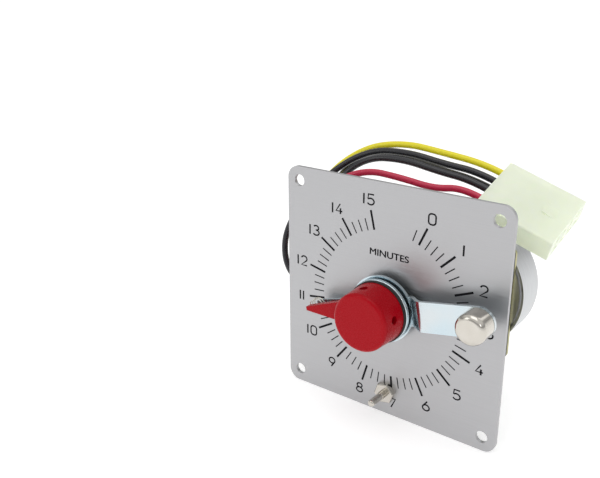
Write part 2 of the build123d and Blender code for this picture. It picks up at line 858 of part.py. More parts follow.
pointer_turn = math.radians(hand_angle)
pointer_out = (math.sin(pointer_turn), math.cos(pointer_turn))
pointer_side = (-pointer_out[1], pointer_out[0])


def beside_pointer(out, aside):
    """Local point on the knob's plane, along the pointer and to its side."""
    x = out * pointer_out[0] + aside * pointer_side[0]
    z = out * pointer_out[1] + aside * pointer_side[1]
    return (x, z)


screw_y = knob_back - set_screw_height
screw_angles = (lever_angle, lever_angle - 90)

with BuildPart() as red_knob:
    profile = [
        (0, knob_back),
        (knob_base_r, knob_back),
        (knob_front_r, knob_front),
        (0, knob_front),
    ]
    spin(shaft, profile)
    fillet(red_knob.edges().filter_by(GeomType.CIRCLE).sort_by(Axis.Y)[0], knob_edge_r)
    with BuildSketch(across(knob_back, shaft)):
        with BuildLine():
            Polyline(
                beside_pointer(0, pointer_root_w / 2),
                beside_pointer(pointer_reach, pointer_tip_w / 2),
                beside_pointer(pointer_reach, -pointer_tip_w / 2),
                beside_pointer(0, -pointer_root_w / 2),
                close=True,
            )
        make_face()
    extrude(amount=pointer_t)
    insert_front = knob_back - insert_length
    spin(shaft, ring(0, insert_r + seat, insert_front - seat, knob_back), Mode.SUBTRACT)
    for angle in screw_angles:
        turn = math.radians(angle)
        outward = (math.sin(turn), 0, math.cos(turn))
        with BuildSketch(Plane(origin=(0, screw_y, axis_z), z_dir=outward)):
            Circle(set_screw_r + seat)
        extrude(amount=knob_base_r + 2, mode=Mode.SUBTRACT)
write(red_knob, "red_knob")

with BuildPart() as knob_insert:
    spin(shaft, ring(0, insert_r, insert_front, knob_back))
    spin(shaft, ring(0, shaft_r + seat, knob_back - shaft_in_knob - seat, knob_back), Mode.SUBTRACT)
    for angle in screw_angles:
        turn = math.radians(angle)
        outward = (math.sin(turn), 0, math.cos(turn))
        with BuildSketch(Plane(origin=(0, screw_y, axis_z), z_dir=outward)):
            Circle(set_screw_r + seat)
        extrude(amount=knob_base_r, mode=Mode.SUBTRACT)
write(knob_insert, "knob_insert")

with BuildPart() as set_screws:
    for angle in screw_angles:
        turn = math.radians(angle)
        outward = (math.sin(turn), 0, math.cos(turn))
        start = shaft_r + seat
        foot = (start * outward[0], screw_y, axis_z + start * outward[2])
        with BuildSketch(Plane(origin=foot, z_dir=outward)):
            Circle(set_screw_r)
        extrude(amount=set_screw_length)
        end = start + set_screw_length
        head = (end * outward[0], screw_y, axis_z + end * outward[2])
        with BuildSketch(Plane(origin=head, z_dir=outward)):
            RegularPolygon(set_screw_r / 2, 6)
        extrude(amount=-set_screw_length / 2, mode=Mode.SUBTRACT)
    cam_screw_foot = (0, cam_back + cam_hub_length / 2, axis_z + shaft_r + seat)
    with BuildSketch(Plane(origin=cam_screw_foot, z_dir=(0, 0, 1))):
        Circle(set_screw_r - seat)
    extrude(amount=hub_r - shaft_r)
write(set_screws, "set_screws")

link_spot = on_dial(hand_angle, link_reach)

with BuildPart() as link_spring:
    spin(link_spot, ring(link_r - link_wire, link_r, knob_back, lever_front))
write(link_spring, "link_spring")

# ---------------------------------------------------------------- connector and leads

tilt = Rot(0, 0, connector_yaw) * Rot(0, connector_pitch, 0) * Rot(connector_roll, 0, 0)
connector_plane = Plane(Pos(*connector_centre) * tilt)


def connector_section(length):
    """Plane across the connector at a distance from its centre, facing its mating end."""
    origin = connector_plane.from_local_coords((length, 0, 0))
    return Plane(origin=origin, x_dir=connector_plane.y_dir, z_dir=connector_plane.x_dir)


all_cells = [(column, row) for column in cell_columns for row in cell_rows]
lead_end = -connector_l / 2
mating_end = connector_l / 2
web_end = lead_end + cell_web

with BuildPart() as connector_housing:
    with BuildSketch(connector_section(lead_end)):
        RectangleRounded(connector_w, connector_t, connector_edge)
    extrude(amount=connector_l)
    with BuildSketch(connector_section(mating_end)):
        with Locations(*all_cells):
            Circle(cell_r)
    extrude(amount=-(connector_l - cell_web), mode=Mode.SUBTRACT)
    with BuildSketch(connector_section(web_end)):
        with Locations(*all_cells):
            Circle(contact_r + seat)
    extrude(amount=-cell_web, mode=Mode.SUBTRACT)
    latch_origin = connector_plane.from_local_coords((0, latch_w / 2, connector_t / 2))
    latch_side = Plane(origin=latch_origin, x_dir=connector_plane.x_dir, z_dir=connector_plane.y_dir)
    with BuildSketch(latch_side):
        with BuildLine():
            Polyline(
                (mating_end - latch_inset, latch_sink),
                (mating_end - latch_inset - latch_l, latch_sink),
                (mating_end - latch_inset - latch_l, -latch_t),
                close=True,
            )
        make_face()
    extrude(amount=-latch_w)
write(connector_housing, "connector_housing")

with BuildPart() as connector_terminals:
    with BuildSketch(connector_section(lead_end)):
        with Locations(*used_cells.values()):
            Circle(contact_r)
    extrude(amount=contact_length)
write(connector_terminals, "connector_terminals")

plain_run = 9.0  # straight length of a lead behind the connector
grommet_face = grommet_x - grommet_flange_t
lead_goals = {
    "yellow": (terminal_x, switch_mid_y, switch_z - terminal_pitch),
    "black_1": (terminal_x, switch_mid_y, switch_z),
    "black_2": (grommet_face, grommet_y - grommet_bore_offset, motor_z),
    "black_3": (grommet_face, grommet_y + grommet_bore_offset, motor_z),
    "red": (terminal_x, switch_mid_y, switch_z + terminal_pitch),
}

# Each lead's corners between its cell's straight run and its goal, rounded by arcs.
routes = {
    "yellow": [
        (-1.5, 43.0, 53.5),
        (-20.0, 42.0, 55.5),
        (-39.0, 39.5, 51.5),
        (-56.5, 34.0, 37.0),
        (-62.5, 27.0, 18.0),
        (-62.0, 20.0, 0.0),
        (-51.0, 13.0, -15.5),
    ],
    "black_1": [
        (2.0, 38.5, 50.0),
        (-15.5, 37.0, 53.0),
        (-33.5, 34.5, 52.0),
        (-51.0, 27.5, 40.0),
        (-65.0, 14.5, 17.0),
        (-62.5, 9.5, -1.5),
        (-48.5, 8.2, -9.5),
    ],
    "black_2": [
        (2.0, 33.0, 48.0),
        (-14.5, 32.0, 51.0),
        (-31.0, 30.0, 50.0),
        (-45.5, 28.5, 39.0),
        (-52.0, 29.5, 22.0),
        (-45.0, 33.0, 6.0),
        (-30.0, 35.8, 1.0),
    ],
    "black_3": [
        (-1.0, 41.0, 46.5),
        (-19.5, 40.5, 49.5),
        (-37.0, 39.0, 48.0),
        (-53.5, 38.5, 36.5),
        (-60.0, 38.0, 18.0),
        (-52.0, 38.5, 1.0),
        (-34.0, 40.0, -4.5),
    ],
    "red": [
        (3.5, 26.5, 42.5),
        (-12.0, 25.0, 45.0),
        (-27.0, 22.5, 46.5),
        (-40.5, 18.5, 40.0),
        (-51.0, 13.5, 27.0),
        (-54.5, 10.0, 12.0),
        (-45.0, 8.6, 1.5),
    ],
}


def rounded(points):
    """Largest arc radius at each corner that its two runs allow."""
    radii = []
    for before, corner, after in zip(points, points[1:], points[2:]):
        run_in = corner - before
        run_out = after - corner
        shorter = min(run_in.length, run_out.length)
        half_turn = math.radians(run_in.get_angle(run_out) / 2)
        radii.append(bend_share * shorter / math.tan(half_turn))
    return radii


for name, corners in routes.items():
    cell = used_cells[name]
    leave = [connector_plane.from_local_coords((lead_end - out, *cell)) for out in (0, plain_run)]
    points = [*leave, *(Vector(*corner) for corner in corners), Vector(*lead_goals[name])]
    radii = rounded(points)
    with BuildPart() as lead:
        with BuildLine() as route:
            FilletPolyline(*points, radius=radii)
        with BuildSketch(Plane(origin=route.line @ 0, z_dir=route.line % 0)):
            Circle(lead_r)
        sweep()
    write(lead, f"lead_{name}")
    length = sum(edge.length for edge in route.edges())
    share = lead.part.volume / (math.pi * lead_r**2 * length)
    print(f"lead_{name} {length:.1f} mm, volume ratio {share:.4f}")
    print("   radii", [round(radius, 1) for radius in radii])
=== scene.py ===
import json
import math

import bpy
from mathutils import Matrix, Vector


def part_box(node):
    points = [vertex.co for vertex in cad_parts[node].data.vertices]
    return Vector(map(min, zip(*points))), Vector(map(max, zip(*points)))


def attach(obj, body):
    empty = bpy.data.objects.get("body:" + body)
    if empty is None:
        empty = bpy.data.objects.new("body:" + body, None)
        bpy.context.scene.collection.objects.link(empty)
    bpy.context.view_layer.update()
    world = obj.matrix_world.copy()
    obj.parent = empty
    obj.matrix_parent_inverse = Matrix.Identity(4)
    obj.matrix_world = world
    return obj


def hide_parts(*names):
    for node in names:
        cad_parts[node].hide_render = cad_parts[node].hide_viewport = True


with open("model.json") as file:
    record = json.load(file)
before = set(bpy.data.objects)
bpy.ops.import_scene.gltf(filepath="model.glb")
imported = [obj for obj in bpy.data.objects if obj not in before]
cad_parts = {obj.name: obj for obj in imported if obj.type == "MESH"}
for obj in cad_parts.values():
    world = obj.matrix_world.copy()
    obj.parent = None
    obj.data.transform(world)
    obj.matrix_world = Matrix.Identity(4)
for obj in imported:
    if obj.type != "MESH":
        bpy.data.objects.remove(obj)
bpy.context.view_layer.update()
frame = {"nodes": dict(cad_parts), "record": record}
nodes = frame["nodes"]
millimetre = 0.001

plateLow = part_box("face_plate")[0]
shaftLow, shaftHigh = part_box("main_shaft")
shaftMiddle = (shaftLow + shaftHigh) / 2
plateFront = plateLow.y

# ---- camera, floor and light

camera = {
    "place": (0.1456, -0.2455, 0.1312),
    "back": (0.5773, -0.7410, 0.3429),  # from what it looks at, towards the camera
    "roll": -0.4,  # degrees
    "lens": 46.07,
    "sensor": 36.0,
}


def makeCamera():
    data = bpy.data.cameras.new("camera")
    data.lens = camera["lens"]
    data.sensor_width = camera["sensor"]
    data.clip_start = 0.01
    obj = bpy.data.objects.new("camera", data)
    back = Vector(camera["back"]).normalized()
    right = Vector((0, 0, 1)).cross(back).normalized()
    up = back.cross(right)
    turn = Matrix((right, up, back)).transposed()
    turn = turn @ Matrix.Rotation(math.radians(camera["roll"]), 3, "Z")
    obj.matrix_world = Matrix.Translation(camera["place"]) @ turn.to_4x4()
    bpy.context.scene.collection.objects.link(obj)
    bpy.context.scene.camera = obj


studio = {
    "floorSize": 40.0,
    "floorColour": (0.91, 0.91, 0.91, 1),
    "floorDrop": 0.00002,  # gap under the plate's lower edge
    "floorLift": 0.40,  # keeps the far floor as white as the near one
    "sky": [  # (height of the direction, brightness): white horizon, dark band, soft ceiling
        (0.0, 0.98), (0.15, 0.95), (0.26, 0.28), (0.62, 0.78),
    ],
    "lamps": [  # name, place, aim, width, height, power
        ("overhead", (0.05, -0.15, 0.75), (0.0, 0.0, 0.0), 0.50, 0.50, 0.9),
        ("leftSoftbox", (-0.45, -0.65, 0.42), (0.0, 0.0, 0.0), 0.30, 0.40, 0.55),
        ("rightSoftbox", (0.60, -0.42, 0.38), (0.02, 0.0, 0.0), 0.12, 0.12, 0.22),
        ("rearFill", (0.10, 0.60, 0.50), (0.0, 0.0, 0.0), 0.50, 0.40, 0.4),
    ],
}


def makeStudio():
    place = (0, 0, plateLow.z - studio["floorDrop"])
    bpy.ops.mesh.primitive_plane_add(size=studio["floorSize"], location=place)
    floor = bpy.context.object
    floor.name = "floor"
    paper = plainMaterial("floorPaper", studio["floorColour"], 0.0, 0.7)
    shaderOf(paper).inputs["Emission Color"].default_value = (1, 1, 1, 1)
    shaderOf(paper).inputs["Emission Strength"].default_value = studio["floorLift"]
    floor.data.materials.append(paper)
    world = bpy.data.worlds.new("studioWorld")
    world.use_nodes = True
    tree = world.node_tree
    direction = tree.nodes.new("ShaderNodeTexCoord")
    height = tree.nodes.new("ShaderNodeSeparateXYZ")
    bright = tree.nodes.new("ShaderNodeValToRGB")
    stops = bright.color_ramp.elements
    while len(stops) < len(studio["sky"]):
        stops.new(1.0)
    for stop, (place, brightness) in zip(stops, studio["sky"]):
        stop.position = place
        stop.color = (brightness, brightness, brightness, 1)
    tree.links.new(direction.outputs["Generated"], height.inputs[0])
    tree.links.new(height.outputs["Z"], bright.inputs["Fac"])
    tree.links.new(bright.outputs["Color"], tree.nodes["Background"].inputs["Color"])
    bpy.context.scene.world = world
    for name, place, aim, width, height, power in studio["lamps"]:
        data = bpy.data.lights.new(name, "AREA")
        data.shape = "RECTANGLE"
        data.size = width
        data.size_y = height
        data.energy = power
        lamp = bpy.data.objects.new(name, data)
        lamp.location = place
        away = Vector(place) - Vector(aim)
        lamp.rotation_euler = away.to_track_quat("Z", "Y").to_euler()
        bpy.context.scene.collection.objects.link(lamp)
    bpy.context.scene.view_settings.view_transform = "Standard"


# ---- materials

surface = {
    "noiseLow": 0.3,  # most of a noise lies between these two
    "noiseHigh": 0.7,
    "glossLow": 0.85,  # least and most roughness, over the finish's own
    "glossHigh": 1.2,
    "metalRelief": 0.00002,
    "plasticRelief": 0.00004,
}


def shaderOf(material):
    return material.node_tree.nodes["Principled BSDF"]


def plainMaterial(name, colour, metallic, roughness):
    material = bpy.data.materials.new(name)
    material.use_nodes = True
    shader = shaderOf(material)
    shader.inputs["Base Color"].default_value = colour
    shader.inputs["Metallic"].default_value = metallic
    shader.inputs["Roughness"].default_value = roughness
    return material


def addNoise(material, stretch, scale, detail=3.0):
    # noise over the piece's own coordinates, stretched along some axes
    tree = material.node_tree
    place = tree.nodes.new("ShaderNodeTexCoord")
    mapping = tree.nodes.new("ShaderNodeMapping")
    mapping.inputs["Scale"].default_value = stretch
    noise = tree.nodes.new("ShaderNodeTexNoise")
    noise.inputs["Scale"].default_value = scale
    noise.inputs["Detail"].default_value = detail
    tree.links.new(place.outputs["Object"], mapping.inputs["Vector"])
    tree.links.new(mapping.outputs["Vector"], noise.inputs["Vector"])
    return noise.outputs["Fac"]


def addRange(material, factor, low, high, socket):
    # spread a noise over a range of values and feed a shader input
    tree = material.node_tree
    spread = tree.nodes.new("ShaderNodeMapRange")
    spread.inputs["From Min"].default_value = surface["noiseLow"]
    spread.inputs["From Max"].default_value = surface["noiseHigh"]
    spread.inputs["To Min"].default_value = low
    spread.inputs["To Max"].default_value = high
    tree.links.new(factor, spread.inputs["Value"])
    tree.links.new(spread.outputs["Result"], shaderOf(material).inputs[socket])


def addColours(material, factor, stops):
    # colour from a noise, by a ramp of (position, colour)
    tree = material.node_tree
    ramp = tree.nodes.new("ShaderNodeValToRGB")
    ramp.color_ramp.elements[0].position, ramp.color_ramp.elements[0].color = stops[0]
    ramp.color_ramp.elements[1].position, ramp.color_ramp.elements[1].color = stops[-1]
    for position, colour in stops[1:-1]:
        ramp.color_ramp.elements.new(position).color = colour
    tree.links.new(factor, ramp.inputs["Fac"])
    tree.links.new(ramp.outputs["Color"], shaderOf(material).inputs["Base Color"])


def addBump(material, height, strength, distance):
    tree = material.node_tree
    bump = tree.nodes.new("ShaderNodeBump")
    bump.inputs["Strength"].default_value = strength
    bump.inputs["Distance"].default_value = distance
    tree.links.new(height, bump.inputs["Height"])
    tree.links.new(bump.outputs["Normal"], shaderOf(material).inputs["Normal"])


def addGloss(material, factor, roughness):
    low, high = roughness * surface["glossLow"], roughness * surface["glossHigh"]
    addRange(material, factor, low, high, "Roughness")


def tint(colour, factor):
    return (colour[0] * factor, colour[1] * factor, colour[2] * factor, 1)


def brushedMetal(name, colour, grain, roughness, contrast=0.06, bump=0.05):
    # grain: scales along X, Y, Z; the brush runs along the axis with the small one
    material = plainMaterial(name, colour, 1.0, roughness)
    lines = addNoise(material, grain, 1.0, 4.0)
    dark, light = tint(colour, 1 - contrast), tint(colour, 1 + contrast)
    addColours(material, lines, [(surface["noiseLow"], dark), (surface["noiseHigh"], light)])
    addGloss(material, lines, roughness)
    addBump(material, lines, bump, surface["metalRelief"])
    return material


def platedMetal(name, colour, other, roughness, blotch=140.0):
    # plated or passivated metal, with slow colour drift and a fine uneven gloss
    material = plainMaterial(name, colour, 1.0, roughness)
    drift = addNoise(material, (1, 1, 1), blotch, 2.0)
    addColours(material, drift, [(surface["noiseLow"], colour), (surface["noiseHigh"], other)])
    fine = addNoise(material, (1, 1, 1), blotch * 9, 2.0)
    addRange(material, fine, roughness * 0.9, roughness * 1.12, "Roughness")
    addBump(material, fine, 0.01, surface["metalRelief"])
    return material


def mouldedPlastic(name, colour, roughness, coat=0.0, texture=900.0, bump=0.04, shine=0.5):
    material = plainMaterial(name, colour, 0.0, roughness)
    skin = addNoise(material, (1, 1, 1), texture, 2.0)
    addColours(material, skin, [(0.25, tint(colour, 0.95)), (0.75, tint(colour, 1.04))])
    addGloss(material, skin, roughness)
    addBump(material, skin, bump, surface["plasticRelief"])
    shaderOf(material).inputs["Coat Weight"].default_value = coat
    shaderOf(material).inputs["Specular IOR Level"].default_value = shine
    return material


# milky look: subsurface and transmission, plus a painted glow that makes the nylon shine in its own
# colour
milkinessAndPaintedGlow = {
    "Subsurface Weight": 0.5,
    "Subsurface Radius": (1.0, 1.0, 0.8),
    "Subsurface Scale": 0.008,
    "Transmission Weight": 0.38,
    "IOR": 1.5,
    "Emission Strength": 0.1,  # painted glow in the nylon's own colour, standing in for light scattered inside the walls
}


def milkyNylon(name, colour):
    material = mouldedPlastic(name, colour, 0.36, 0.1, 240.0, 0.04)
    shader = shaderOf(material)
    # painted glow: the nylon emits its own colour though it is no lamp
    shader.inputs["Emission Color"].default_value = colour
    for socket, value in milkinessAndPaintedGlow.items():
        shader.inputs[socket].default_value = value
    return material


def woundCopper(name, colour):
    material = platedMetal(name, colour, tint(colour, 0.7), 0.3)
    tree = material.node_tree
    place = tree.nodes.new("ShaderNodeTexCoord")
    turns = tree.nodes.new("ShaderNodeTexWave")
    turns.bands_direction = "Y"
    turns.inputs["Scale"].default_value = 1500.0
    tree.links.new(place.outputs["Object"], turns.inputs["Vector"])
    addBump(material, turns.outputs["Fac"], 0.5, 0.0001)
    return material


def makeFinishes():
    # one finish for each material slot in the record
    return {
        "face_aluminium": brushedMetal(
            "faceAluminium", (0.465, 0.465, 0.475, 1), (45, 400, 4600), 0.42, 0.045, 0.03
        ),
        "zinc_steel": platedMetal("zincPlate", (0.54, 0.66, 0.72, 1), (0.62, 0.67, 0.69, 1), 0.2, 60.0),
        "nickel": platedMetal("nickelPlate", (0.56, 0.53, 0.47, 1), (0.62, 0.59, 0.54, 1), 0.17),
        "steel": brushedMetal("plainSteel", (0.50, 0.50, 0.51, 1), (900, 900, 900), 0.3),
        "dark_steel": platedMetal("blackOxide", (0.05, 0.05, 0.055, 1), (0.08, 0.075, 0.07, 1), 0.4),
        "brass": brushedMetal("turnedBrass", (0.72, 0.53, 0.24, 1), (700, 1800, 700), 0.28),
        "olive_chromate": platedMetal(
            "oliveChromate", (0.36, 0.35, 0.17, 1), (0.50, 0.46, 0.24, 1), 0.36, 260.0
        ),
        "motor_shell": brushedMetal("motorShell", (0.56, 0.57, 0.58, 1), (160, 900, 160), 0.34),
        "black_fibre": mouldedPlastic("blackFibre", (0.018, 0.018, 0.018, 1), 0.6, 0.0, 2400.0, 0.15),
        "black_phenolic": mouldedPlastic("phenolic", (0.025, 0.021, 0.018, 1), 0.38, 0.1, 1200.0),
        "copper_wire": woundCopper("enamelledCopper", (0.62, 0.25, 0.10, 1)),
        "black_rubber": mouldedPlastic("rubber", (0.02, 0.02, 0.02, 1), 0.7, 0.0, 1500.0, 0.1),
        "nylon": milkyNylon("milkyNylon", (0.90, 0.95, 0.79, 1)),
        "tin": platedMetal("tinnedContact", (0.70, 0.70, 0.68, 1), (0.76, 0.74, 0.70, 1), 0.26, 600.0),
        "yellow_insulation": mouldedPlastic(
            "yellowInsulation", (0.86, 0.76, 0.01, 1), 0.32, 0.2, 1600.0
        ),
        "black_insulation": mouldedPlastic(
            "blackInsulation", (0.010, 0.010, 0.014, 1), 0.28, 0.25, 1600.0
        ),
        "red_insulation": mouldedPlastic("redInsulation", (0.56, 0.012, 0.06, 1), 0.34, 0.2, 1600.0),
        "red_plastic": mouldedPlastic(
            "redPlastic", (0.37, 0.001, 0.007, 1), 0.26, 0.03, 2600.0, 0.01, 0.12
        ),
        "white_acetal": mouldedPlastic("acetal", (0.78, 0.78, 0.74, 1), 0.4),
    }


def giveFinishes(finishes):
    for part in frame["record"]["subparts"]:
        obj = nodes[part["node"]]
        obj.data.materials.clear()
        obj.data.materials.append(finishes[part["material_slot"]])


# ---- leads

lead = {
    "diameter": 0.0029,
    "sides": 4,  # bevel resolution
    "smoothness": 24,
}

# corner points from the connector to the far end, in metres
leadRoutes = {
    "yellow": [
        (0.0249, 0.0448, 0.0481), (0.0164, 0.0445, 0.0511), (-0.0015, 0.0430, 0.0535),
        (-0.0200, 0.0420, 0.0555), (-0.0390, 0.0395, 0.0515), (-0.0565, 0.0340, 0.0370),
        (-0.0625, 0.0270, 0.0180), (-0.0620, 0.0200, 0.0000), (-0.0510, 0.0130, -0.0155),
        (-0.0315, 0.0082, -0.0122),
    ],
    "black_1": [
        (0.0242, 0.0398, 0.0458), (0.0158, 0.0395, 0.0488), (0.0020, 0.0385, 0.0500),
        (-0.0155, 0.0370, 0.0530), (-0.0335, 0.0345, 0.0520), (-0.0510, 0.0275, 0.0400),
        (-0.0650, 0.0145, 0.0170), (-0.0625, 0.0095, -0.0015), (-0.0485, 0.0082, -0.0095),
        (-0.0315, 0.0082, -0.0040),
    ],
    "black_2": [
        (0.0236, 0.0347, 0.0434), (0.0151, 0.0344, 0.0464), (0.0020, 0.0330, 0.0480),
        (-0.0145, 0.0320, 0.0510), (-0.0310, 0.0300, 0.0500), (-0.0455, 0.0285, 0.0390),
        (-0.0520, 0.0295, 0.0220), (-0.0450, 0.0330, 0.0060), (-0.0300, 0.0358, 0.0010),
        (-0.0124, 0.03575, 0.0025),
    ],
    "black_3": [
        (0.0227, 0.0419, 0.0415), (0.0142, 0.0416, 0.0446), (-0.0010, 0.0410, 0.0465),
        (-0.0195, 0.0405, 0.0495), (-0.0370, 0.0390, 0.0480), (-0.0535, 0.0385, 0.0365),
        (-0.0600, 0.0380, 0.0180), (-0.0520, 0.0385, 0.0010), (-0.0340, 0.0400, -0.0045),
        (-0.0124, 0.03995, 0.0025),
    ],
    "red": [
        (0.0229, 0.0297, 0.0411), (0.0145, 0.0294, 0.0441), (0.0035, 0.0265, 0.0425),
        (-0.0120, 0.0250, 0.0450), (-0.0270, 0.0225, 0.0465), (-0.0405, 0.0185, 0.0400),
        (-0.0510, 0.0135, 0.0270), (-0.0545, 0.0100, 0.0120), (-0.0450, 0.0086, 0.0015),
        (-0.0315, 0.0082, 0.0042),
    ],
}
leadFinish = {
    "yellow": "yellow_insulation",
    "black_1": "black_insulation",
    "black_2": "black_insulation",
    "black_3": "black_insulation",
    "red": "red_insulation",
}


def makeLeads(finishes):
    for name, route in leadRoutes.items():
        points = route[::-1]  # from the object to the connector
        curve = bpy.data.curves.new("wire_" + name, "CURVE")
        curve.dimensions = "3D"
        curve.bevel_depth = lead["diameter"] / 2
        curve.bevel_resolution = lead["sides"]
        curve.use_fill_caps = True
        spline = curve.splines.new("NURBS")
        spline.points.add(len(points) - 1)
        for slot, point in zip(spline.points, points):
            slot.co = (*point, 1)
        spline.order_u = 3
        spline.use_endpoint_u = True
        spline.resolution_u = lead["smoothness"]
        curve.materials.append(finishes[leadFinish[name]])
        wire = bpy.data.objects.new("wire_" + name, curve)
        bpy.context.scene.collection.objects.link(wire)
        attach(wire, "chassis")
        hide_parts("lead_" + name)
    print("leads made:", len(leadRoutes))


# ---- small helpers for pieces

def linkPiece(name, mesh, material, body):
    piece = bpy.data.objects.new(name, mesh)
    mesh.materials.clear()
    mesh.materials.append(material)
    bpy.context.scene.collection.objects.link(piece)
    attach(piece, body)
    return piece


def meshFrom(source):
    # the evaluated shape of an object, as a mesh of its own
    shapes = bpy.context.evaluated_depsgraph_get()
    return bpy.data.meshes.new_from_object(source.evaluated_get(shapes))


def sized(profile):
    # (radius, reach) points given in millimetres
    return [(radius * millimetre, reach * millimetre) for radius, reach in profile]


def joinMeshes(name, meshes, rounded=True):
    # a turned piece's walls have four corners and are shaded smooth; its ends stay flat
    points, faces = [], []
    for mesh in meshes:
        start = len(points)
        points += [tuple(v.co) for v in mesh.vertices]
        faces += [tuple(start + i for i in polygon.vertices) for polygon in mesh.polygons]
    joined = bpy.data.meshes.new(name)
    joined.from_pydata(points, [], faces)
    for polygon in joined.polygons:
        polygon.use_smooth = rounded and len(polygon.vertices) == 4
    return joined


# ---- dial print: ticks by geometry nodes, numerals and the unit word

dial = {
    "zeroAngle": 24.2,  # degrees clockwise from the top
    "perMinute": 21.513,
    "minutes": 15,
    "tickInner": 31.66 * millimetre,
    "minorOuter": 36.63 * millimetre,
    "majorOuter": 39.73 * millimetre,
    "minorStroke": 0.46 * millimetre,
    "majorStroke": 0.92 * millimetre,
    "ink": 0.03 * millimetre,  # how proud of the plate the print stands
}


def startTree(name, sockets):
    tree = bpy.data.node_groups.new(name, "GeometryNodeTree")
    tree.is_modifier = True
    face = tree.interface
    face.new_socket(name="Geometry", in_out="OUTPUT", socket_type="NodeSocketGeometry")
    for socketName, kind in sockets:
        face.new_socket(name=socketName, in_out="INPUT", socket_type="NodeSocket" + kind)
    return tree


def endTree(tree, shape, material):
    real = tree.nodes.new("GeometryNodeRealizeInstances")
    tree.links.new(shape, real.inputs["Geometry"])
    finish = tree.nodes.new("GeometryNodeSetMaterial")
    tree.links.new(real.outputs["Geometry"], finish.inputs["Geometry"])
    tree.links.new(material, finish.inputs["Material"])
    result = tree.nodes.new("NodeGroupOutput")
    tree.links.new(finish.outputs["Geometry"], result.inputs["Geometry"])


def barRingTree():
    # bars in a ring about an axis along Y, some of them left out
    tree = startTree("barRing", [
        ("Count", "Int"), ("Skip Every", "Int"), ("Skip Phase", "Int"),
        ("First Angle", "Float"), ("Step", "Float"),
        ("Inner Radius", "Float"), ("Outer Radius", "Float"), ("Stroke", "Float"),
        ("Depth", "Float"), ("Centre", "Vector"), ("Material", "Material"),
    ])
    add = tree.nodes.new
    join = tree.links.new
    given = add("NodeGroupInput").outputs

    def maths(operation, first, second):
        node = add("ShaderNodeMath")
        node.operation = operation
        for socket, value in zip(node.inputs, (first, second)):
            if isinstance(value, (int, float)):
                socket.default_value = value
            else:
                join(value, socket)
        return node.outputs[0]

    length = maths("SUBTRACT", given["Outer Radius"], given["Inner Radius"])
    middle = maths("MULTIPLY", maths("ADD", given["Outer Radius"], given["Inner Radius"]), 0.5)
    size = add("ShaderNodeCombineXYZ")
    join(given["Stroke"], size.inputs["X"])
    join(given["Depth"], size.inputs["Y"])
    join(length, size.inputs["Z"])
    bar = add("GeometryNodeMeshCube")
    join(size.outputs[0], bar.inputs["Size"])
    outward = add("ShaderNodeCombineXYZ")
    join(middle, outward.inputs["Z"])
    move = add("GeometryNodeTransform")
    join(bar.outputs["Mesh"], move.inputs["Geometry"])
    join(outward.outputs[0], move.inputs["Translation"])
    spots = add("GeometryNodeMeshLine")
    spots.inputs["Offset"].default_value = (0, 0, 0)
    join(given["Count"], spots.inputs["Count"])
    join(given["Centre"], spots.inputs["Start Location"])
    index = add("GeometryNodeInputIndex").outputs[0]
    place = maths("ADD", index, given["Skip Phase"])
    kept = maths("GREATER_THAN", maths("MODULO", place, given["Skip Every"]), 0.5)
    angle = maths("ADD", maths("MULTIPLY", index, given["Step"]), given["First Angle"])
    turn = add("FunctionNodeAxisAngleToRotation")
    turn.inputs["Axis"].default_value = (0, 1, 0)
    join(angle, turn.inputs["Angle"])
    copies = add("GeometryNodeInstanceOnPoints")
    join(spots.outputs["Mesh"], copies.inputs["Points"])
    join(move.outputs["Geometry"], copies.inputs["Instance"])
    join(kept, copies.inputs["Selection"])
    join(turn.outputs["Rotation"], copies.inputs["Rotation"])
    endTree(tree, copies.outputs["Instances"], given["Material"])
    return tree


def runTree(name, tree, values):
    # run a geometry tree on a carrier object and keep its result as a plain mesh
    carrier = bpy.data.objects.new(name + "Carrier", bpy.data.meshes.new(name + "Carrier"))
    bpy.context.scene.collection.objects.link(carrier)
    modifier = carrier.modifiers.new(name, "NODES")
    modifier.node_group = tree
    for item in tree.interface.items_tree:
        if item.in_out == "INPUT" and item.name in values:
            modifier[item.identifier] = values[item.name]
    mesh = meshFrom(carrier)
    carrier.modifiers.remove(modifier)
    bpy.data.objects.remove(carrier)
    return mesh


def makeTicks(ink):
    tree = barRingTree()
    step = math.radians(dial["perMinute"])
    zero = math.radians(dial["zeroAngle"])
    shared = {
        "Inner Radius": dial["tickInner"],
        "Depth": dial["ink"],
        "Centre": (shaftMiddle.x, plateFront - dial["ink"] / 2, shaftMiddle.z),
        "Material": ink,
    }
    # quarter minutes start one before zero, and every whole minute is skipped
    minor = runTree("minorTicks", tree, shared | {
        "Count": dial["minutes"] * 4 + 1,
        "Skip Every": 4,
        "Skip Phase": 3,
        "First Angle": zero - step / 4,
        "Step": step / 4,
        "Outer Radius": dial["minorOuter"],
        "Stroke": dial["minorStroke"],
    })
    major = runTree("majorTicks", tree, shared | {
        "Count": dial["minutes"] + 1,
        "Skip Every": dial["minutes"] + 2,
        "Skip Phase": 1,
        "First Angle": zero,
        "Step": step,
        "Outer Radius": dial["majorOuter"],
        "Stroke": dial["majorStroke"],
    })
    linkPiece("dial_minor_ticks", minor, ink, "chassis")
    linkPiece("dial_major_ticks", major, ink, "chassis")
    print("dial ticks made")


numeral = {
    "height": 4.25 * millimetre,  # between the middles of its top and bottom strokes
    "width": 3.05 * millimetre,
    "stroke": 0.76 * millimetre,
    "space": 1.75 * millimetre,
    "radius": 44.1 * millimetre,
}


def sweep(x, z, across, up, start, end, steps=12):
    # points along part of an ellipse, angles anticlockwise from the right
    turns = [math.radians(start + (end - start) * i / steps) for i in range(steps + 1)]
    return [(x + across * math.cos(t), z + up * math.sin(t)) for t in turns]


